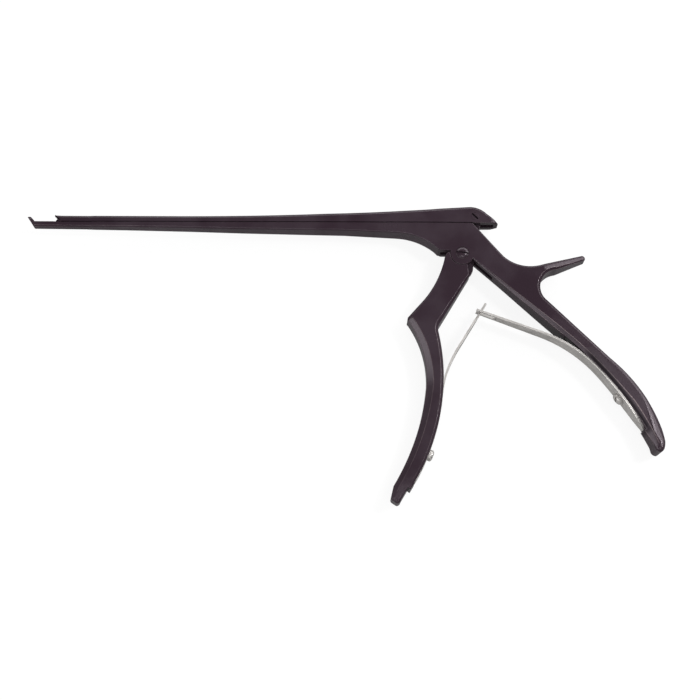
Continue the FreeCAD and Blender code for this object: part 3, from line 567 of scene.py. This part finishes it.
# Slide: the upper half of the shaft, a bar of the same coated steel that runs forward on the rail
# of the frame. Its front end is the cutting edge, its back is rounded along both edges, and its
# slotted tail hides the fork of the trigger.
TAIL_START, TAIL_RADIUS = 12.6, 4.0
RUNNING_GAP = 0.05  # between the rail and its slot
FORK_WAY_HALF = 1.6
DRIVE_X, DRIVE_Y, DRIVE_RECESS, DRIVE_BORE, DRIVE_FLOOR = 5.9, 17.5, 1.79, 1.34, 2.65


def slide_width(x, y):
    if x > TAIL_START:
        return 0.25 + math.sqrt(max(TAIL_RADIUS**2 - (x - TAIL_START)**2, 0.0))
    relieved = y < SEAM + SEAM_SLOT and -178.4 < x < 4.65
    return shaft_width(x) - (SEAM_RELIEF if relieved else 0)


slide_outline = trace(
    (-179.2, SEAM + 0.02),
    (-181.6, SEAM + 2.86, 0, 0.3, 0),
    (-181.3, SEAM + 3.05, -0.25, 0.9, 0),
    (-178.5, SEAM + 3.05, 0, 1.3, 0),
    (-125.0, SEAM + 3.05, 0, 1.5, 0),
    (-60.0, 18.9, 1540, 1.7, 0),
    (-24.0, 20.55, 900, 1.8, 0),
    (-9.7, 21.6, 300, 1.8, 0),
    (2.5, 22.4, 0, 1.8, 0),
    (11.3, 19.1, -10.4, 1.5, 0),
    (16.0, 14.95, 0, 0.3, 0),
    (16.1, 14.4, -0.4, 0.2, 0),
    (4.4, SEAM + 0.02, 0, 0.05, 0),
    (-179.2, SEAM + 0.02, 0, 0.05, 0),
)
slide_bar = forged(
    "slide_bar", slide_outline, slide_width,
    x_cuts=[-178.5, -178.3, TIP_END, SHAFT_START, SHAFT_END, 4.6, 4.7,
            TAIL_START, 13.2, 13.8, 14.4, 15.0, 15.5],
    y_cuts=[SEAM + SEAM_SLOT - 0.01, SEAM + SEAM_SLOT + 0.04])
neck_way_half, head_way_half = RAIL_NECK_HALF + RUNNING_GAP, RAIL_HEAD_HALF + RUNNING_GAP
way_step, way_roof = SEAM + RAIL_NECK_HIGH, SEAM + RAIL_HIGH + RUNNING_GAP
neck_way = block([(-190, 13), (-190, way_step), (1.4, way_step), (1.4, 13)],
                 -neck_way_half, neck_way_half)
head_way = block([(-190, way_step), (-190, way_roof), (1.4, way_roof), (1.4, way_step)],
                 -head_way_half, head_way_half)
fork_way = block([(0.9, 13), (0.9, 19.5), (8.8, 19.5), (14.3, 15.3), (14.3, 13)],
                 -FORK_WAY_HALF, FORK_WAY_HALF)
combine(slide_bar, "DIFFERENCE", neck_way, head_way, fork_way,
        drill(DRIVE_X, DRIVE_Y, DRIVE_RECESS, DRIVE_FLOOR, CLEAR),
        drill(DRIVE_X, DRIVE_Y, DRIVE_BORE, -CLEAR, CLEAR))
finish_piece(slide_bar, black_coat, "slide")
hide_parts("slide")

# Trigger: the front handle, forged of the same coated steel with broad bevels and a knee that stops
# the fingers. A thin tongue rises from it through the slot of the body, turns on the pivot screw
# and ends in the fork that drives the slide.
GRIP_CENTRE, GRIP_RADIUS = (-101.1, -55.7), 92.0  # the arc on which the front leaf spring lies
EYE_RADIUS = 5.45
TONGUE_HALF = 1.4
# share of the ridges' wear and painted highlight that the trigger keeps
TRIGGER_WEAR_AND_HIGHLIGHT = 0.6


def trigger_width(x, y):
    return BODY_HALF + 1.5 * smoothstep(-y, 8, 34) - 1.4 * smoothstep(-y, 97, 114)


trigger_outline = trace(
    (-31.85, -108.8),
    (-30.7, -103.8, 0, 2.2, 1),
    (-16.4, -60.0, 106, 2.8, 1),
    (-24.05, -31.5, 47.5, 2.1, 1),
    (-24.1, -30.1, -0.85, 0.9, 0.8),
    (-17.0, -21.8, 0, 0.7, 0.5),
    (-7.9, -2.4, 49, 0.5, 0.2),
    (-6.2, 0.6, -4, 0.4, 0),
    (*on_circle((0, 0), EYE_RADIUS, 175), 0, 0.25, 0),
    (*on_circle((0, 0), EYE_RADIUS, -67.3), EYE_RADIUS, 0.25, 0),
    (3.1, -9.95, 0, 0.8, 0.8),
    (-10.53, -32.79, 0, 1.3, 1),
    (-11.12, -36.53, 5, 1.3, 1),
    (*on_circle(GRIP_CENTRE, GRIP_RADIUS, -30), -GRIP_RADIUS, 1.2, 1),
    (*on_circle(GRIP_CENTRE, GRIP_RADIUS, -32.7), -GRIP_RADIUS, 0.5, 0.5),
    (-24.7, -104.6, 0, 0.3, 0.2),
    (-27.7, -109.9, 0, 1.1, 0),
    (-29.4, -111.15, -1.6, 1.2, 0),
    (-31.4, -109.8, 0, 1.3, 0),
    (-31.85, -108.8, -1.2, 1.5, 0.6),
)
trigger_forging = forged(
    "trigger_forging", trigger_outline, trigger_width,
    y_cuts=[-8, -11, -14, -17, -21, -25, -28, -31, -34, -97, -100, -103, -106, -109],
    most_wear_and_highlight=TRIGGER_WEAR_AND_HIGHLIGHT)
tongue_outline = trace(
    (3.26, 19.06),
    (4.73, 18.56, 0, 0.2, 0),
    (3.74, 15.63, 0, 0.2, 0),
    (6.49, 14.70, 1.456, 0.2, 0),
    (7.48, 17.64, 0, 0.2, 0),
    (8.28, 17.36, 0, 0.2, 0),
    (9.03, 15.84, 0, 0.2, 0),
    (8.43, 14.04, 0, 0.2, 0),
    (5.6, -2.0, 0, 0.2, 0),
    (4.9, -5.3, 0, 0.2, 0),
    (4.7, -7.1, 0, 0.2, 0),
    (3.8, -8.9, 0, 0.2, 0),
    (0.0, -12.0, 0, 0.2, 0),
    (-6.2, -10.0, 0, 0.2, 0),
    (-5.3, -3.0, 0, 0.2, 0),
    (-4.36, 1.47, 0, 0.2, 0),
    (3.26, 19.06, 0, 0.2, 0),
)
tongue = forged("tongue", tongue_outline, lambda x, y: TONGUE_HALF)
combine(trigger_forging, "UNION", tongue)
combine(trigger_forging, "DIFFERENCE", bed(GRIP_CENTRE, 91.1, 94.0, -30.6, 29.8, 30),
        drill(0, 0, PIVOT_BORE, -CLEAR, CLEAR))
finish_piece(trigger_forging, black_coat, "trigger")
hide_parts("trigger")

# Leaf springs: two flat strips of hardened bright steel, one screwed into the shallow bed of each
# handle. The front one narrows to a tongue that passes through the forked tip of the rear one, and
# both bend as the handles close.
STEEL_DARK = (0.30, 0.287, 0.275, 1)
STEEL_PALE = (0.50, 0.482, 0.465, 1)
# painted highlight on the leaves' long edges and on the rims of the screw heads
STEEL_EDGE_HIGHLIGHT = (0.54, 0.52, 0.50, 1)


def bright_steel(name):
    """Spring steel: brush marks along each leaf, soft clouds, and a painted highlight on the long edges."""
    material, tree = new_material(name)
    lengthwise = add(tree, "ShaderNodeCombineXYZ", {},
                     [mesh_value(tree, "along") * 0.05, mesh_value(tree, "across") * 2.2, 0.0])
    brushed = add(tree, "ShaderNodeTexNoise", {},
                  {"Vector": lengthwise, "Scale": 1.0, "Detail": 4.0})
    place = add(tree, "ShaderNodeTexCoord", {}, {}, "Object")
    cloud = add(tree, "ShaderNodeTexNoise", {}, {"Vector": place, "Scale": 90.0, "Detail": 3.0})
    tint = (brushed * 0.6 + cloud * 0.4).ramp(0.3, 0.7).blend(STEEL_DARK, STEEL_PALE)
    bump = add(tree, "ShaderNodeBump", {},
               {"Strength": 0.04, "Distance": 0.00002, "Height": brushed})
    metal = add(tree, "ShaderNodeBsdfPrincipled", {}, {
        # painted highlight where the ridge value is high
        "Base Color": mesh_value(tree, "ridge").ramp(0.3, 0.9).blend(tint, STEEL_EDGE_HIGHLIGHT),
        "Metallic": 0.5, "Roughness": 0.30 + brushed * 0.12, "Normal": bump})
    surface(tree, metal)
    return material


LEAF_THICK = 0.9
LEAF_EASE = 0.04  # how much its long edges are broken
LEAF_HALF, NECK_HALF, FRONT_TIP_HALF = 4.3, 2.4, 1.1  # half widths: at the screw, neck, tongue
FORK_GAP_HALF = 1.35


def strip(name, path, half_width):
    """A bent strip: the path runs along its middle in the side view."""
    mesh = bmesh.new()
    kept = mesh.verts.layers.float
    along, across, ridge = (kept.new(key) for key in ("along", "across", "ridge"))
    loops, run = [], 0.0
    half = LEAF_THICK / 2
    for i, (x, y) in enumerate(path):
        before, after = path[max(i - 1, 0)], path[min(i + 1, len(path) - 1)]
        heading = Vector((after[0] - before[0], after[1] - before[1])).normalized()
        if i:
            run += math.hypot(x - path[i - 1][0], y - path[i - 1][1])
        w = half_width(x, y)
        section = [(w - 3 * LEAF_EASE, half, 0), (w - LEAF_EASE, half, 1), (w, half - LEAF_EASE, 1),
                   (w, 0, 0), (w, LEAF_EASE - half, 1), (w - LEAF_EASE, -half, 1),
                   (w - 3 * LEAF_EASE, -half, 0)]
        section += [(-side, -height, wear_and_highlight) for side, height, wear_and_highlight in section]
        loop = []
        for side, height, wear_and_highlight in section:
            vert = mesh.verts.new((x - heading.y * height, y + heading.x * height, side))
            vert[along], vert[across], vert[ridge] = run, side, wear_and_highlight
            loop.append(vert)
        loops.append(loop)
    for a, b in zip(loops, loops[1:]):
        for i in range(len(a)):
            j = (i + 1) % len(a)
            mesh.faces.new((a[i], a[j], b[j], b[i]))
    mesh.faces.new(loops[0][::-1])
    mesh.faces.new(loops[-1])
    bmesh.ops.recalc_face_normals(mesh, faces=mesh.faces)
    return finish_mesh(name, mesh)


def spring_path(centre, radius, low, leave, side, bend, turn, tip):
    """Along the seat, round the bend and out to the tip; side is 1 where both turn the same way."""
    points = [on_circle(centre, radius, low + (leave - low) * n / 48) for n in range(49)]
    knee = on_circle(centre, radius - side * bend, leave)
    first = leave if side == 1 else 180 + leave
    points += [on_circle(knee, bend, first + side * turn * n / 20) for n in range(1, 21)]
    heading = first + side * (turn + 90)
    return points + [on_circle(points[-1], tip * n / 24, heading) for n in range(1, 25)]


def oval_end(distance, reach):
    return LEAF_HALF * math.sqrt(max(1 - (distance / reach)**2, 0.02))


def front_leaf_width(x, y):
    if y > -29.5:
        return FRONT_TIP_HALF
    if y > -72:
        return NECK_HALF + (LEAF_HALF - NECK_HALF) * (-29.5 - y) / 42.5
    return LEAF_HALF if y > -95 else oval_end(-95 - y, 7.6)


def rear_leaf_width(x, y):
    if x < 58:
        return NECK_HALF + (LEAF_HALF - NECK_HALF) * (x - 6) / 52
    return LEAF_HALF if x < 68 else oval_end(x - 68, 7.9)


spring_steel = bright_steel("spring_steel")
front_path = spring_path(GRIP_CENTRE, 91.55, -30.4, -6.0, -1, 53.65, 25.2, 24.3)
rear_path = spring_path(SEAT_CENTRE, 172.45, 29.4, 39.4, 1, 58.45, 30.2, 29.9)
front_leaf = strip("front_leaf", front_path, front_leaf_width)
rear_leaf = strip("rear_leaf", rear_path, rear_leaf_width)
fork_gap = block([(4, -32), (14.2, -32), (14.2, -22), (4, -22)], -FORK_GAP_HALF, FORK_GAP_HALF)
combine(rear_leaf, "DIFFERENCE", fork_gap)
crossing = Vector((8.6, -27.0, 0))  # where the two leaves are linked, half-way along each bend
for leaf, node, home, away, bend_start in (
    (front_leaf, "front_leaf_spring", "trigger", "frame", Vector((-9.6, -65.3, 0))),
    (rear_leaf, "rear_leaf_spring", "frame", "trigger", Vector((47.0, -44.5, 0))),
):
    finish_piece(leaf, spring_steel, None)
    bend_end = crossing * 2 - bend_start
    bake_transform(leaf, home, away, start=PIVOT + bend_start * MM, end=PIVOT + bend_end * MM)
    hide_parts(node)

# Screws: turned from steel rod, each with a driver's slot milled across its head. The pivot screw
# and the slide's cross screw are coated like the forgings, and hold the trigger and its fork. The
# two bright cheese-head screws hold the leaf springs to the handles.
DRIVER_SLOT = 0.75
# Each profile runs from the top of the head down to the end: radius, height over the seat, wear with painted
# highlight.
PIVOT_HEAD = [(0, 2.0, 0), (0.9, 1.95, 0), (1.6, 1.8, 0), (2.2, 1.56, 0), (2.6, 1.3, 0.2),
              (2.8, 1.13, 0.7), (2.87, 1.02, 0.3), (2.87, 0, 0), (1.95, 0, 0), (1.95, -7.2, 0),
              (0, -7.2, 0)]
DRIVE_HEAD = [(0, 1.6, 0), (1.6, 1.6, 0), (1.74, 1.58, 0), (1.785, 1.5, 0), (1.785, 0, 0),
              (1.3, 0, 0), (1.3, -6.6, 0), (0, -6.6, 0)]
SPRING_HEAD = [(0, 2.0, 0), (1.1, 1.95, 0), (1.8, 1.78, 0), (2.2, 1.55, 0.2), (2.38, 1.38, 0.9),
               (2.45, 1.15, 0.3), (2.45, 0.1, 0), (2.38, 0, 0), (1.25, 0, 0), (1.25, -4.9, 0),
               (0, -4.9, 0)]


def turned(name, profile, place, slot_floor):
    """Spins a profile round the Z axis, cuts the slot, and stands the screw at its place."""
    count = 64
    mesh = bmesh.new()
    ridge = mesh.verts.layers.float.new("ridge")
    rings = []
    for radius, height, wear_and_highlight in profile:
        ring = []
        for n in range(count if radius else 1):
            angle = 2 * math.pi * n / count
            vert = mesh.verts.new((radius * math.cos(angle), radius * math.sin(angle), height))
            vert[ridge] = wear_and_highlight
            ring.append(vert)
        rings.append(ring)
    for a, b in zip(rings, rings[1:]):
        for n in range(count):
            m = (n + 1) % count
            corners = [a[n % len(a)], a[m % len(a)], b[m % len(b)], b[n % len(b)]]
            mesh.faces.new(list(dict.fromkeys(corners)))
    bmesh.ops.recalc_face_normals(mesh, faces=mesh.faces)
    screw = finish_mesh(name, mesh, place)
    half = DRIVER_SLOT / 2
    slot = block([(-half, -4), (half, -4), (half, 4), (-half, 4)], slot_floor, 6, place=place)
    return combine(screw, "DIFFERENCE", slot)


def standing(x, y, z, direction=None, spin=0.0):
    """Where a screw stands, upright or leaning, with its slot turned by so many degrees."""
    turn = Matrix.Rotation(math.radians(spin), 4, "Z")
    lean = Matrix()
    if direction:
        lean = Vector((*direction, 0)).to_track_quat("Z", "Y").to_matrix().to_4x4()
    return Matrix.Translation((x, y, z)) @ lean @ turn


front_angle, rear_angle = -21.8, 35.0  # where on their arcs the spring screws stand
front_place = standing(*on_circle(GRIP_CENTRE, GRIP_RADIUS, front_angle), 0,
                       on_circle((0, 0), 1, front_angle), 25)
rear_place = standing(*on_circle(SEAT_CENTRE, SEAT_RADIUS - 0.05, rear_angle), 0,
                      on_circle((0, 0), -1, rear_angle), 25)
for node, name, profile, place, slot_floor, body, material, finish in (
    ("pivot_screw", "pivot_head", PIVOT_HEAD, standing(0, 0, PIVOT_HEAD_FLOOR, spin=82), 0.9,
     "frame", black_coat, "coated_steel"),
    ("drive_screw", "drive_head", DRIVE_HEAD, standing(DRIVE_X, DRIVE_Y, DRIVE_FLOOR, spin=45), 0.3,
     "slide", black_coat, "coated_steel"),
    ("front_spring_screw", "front_spring_head", SPRING_HEAD, front_place, 1.2,
     "trigger", spring_steel, "spring_steel"),
    ("rear_spring_screw", "rear_spring_head", SPRING_HEAD, rear_place, 1.2,
     "frame", spring_steel, "spring_steel"),
):
    screw = turned(name, profile, place, slot_floor)
    finish_piece(screw, material, body)
    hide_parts(node)
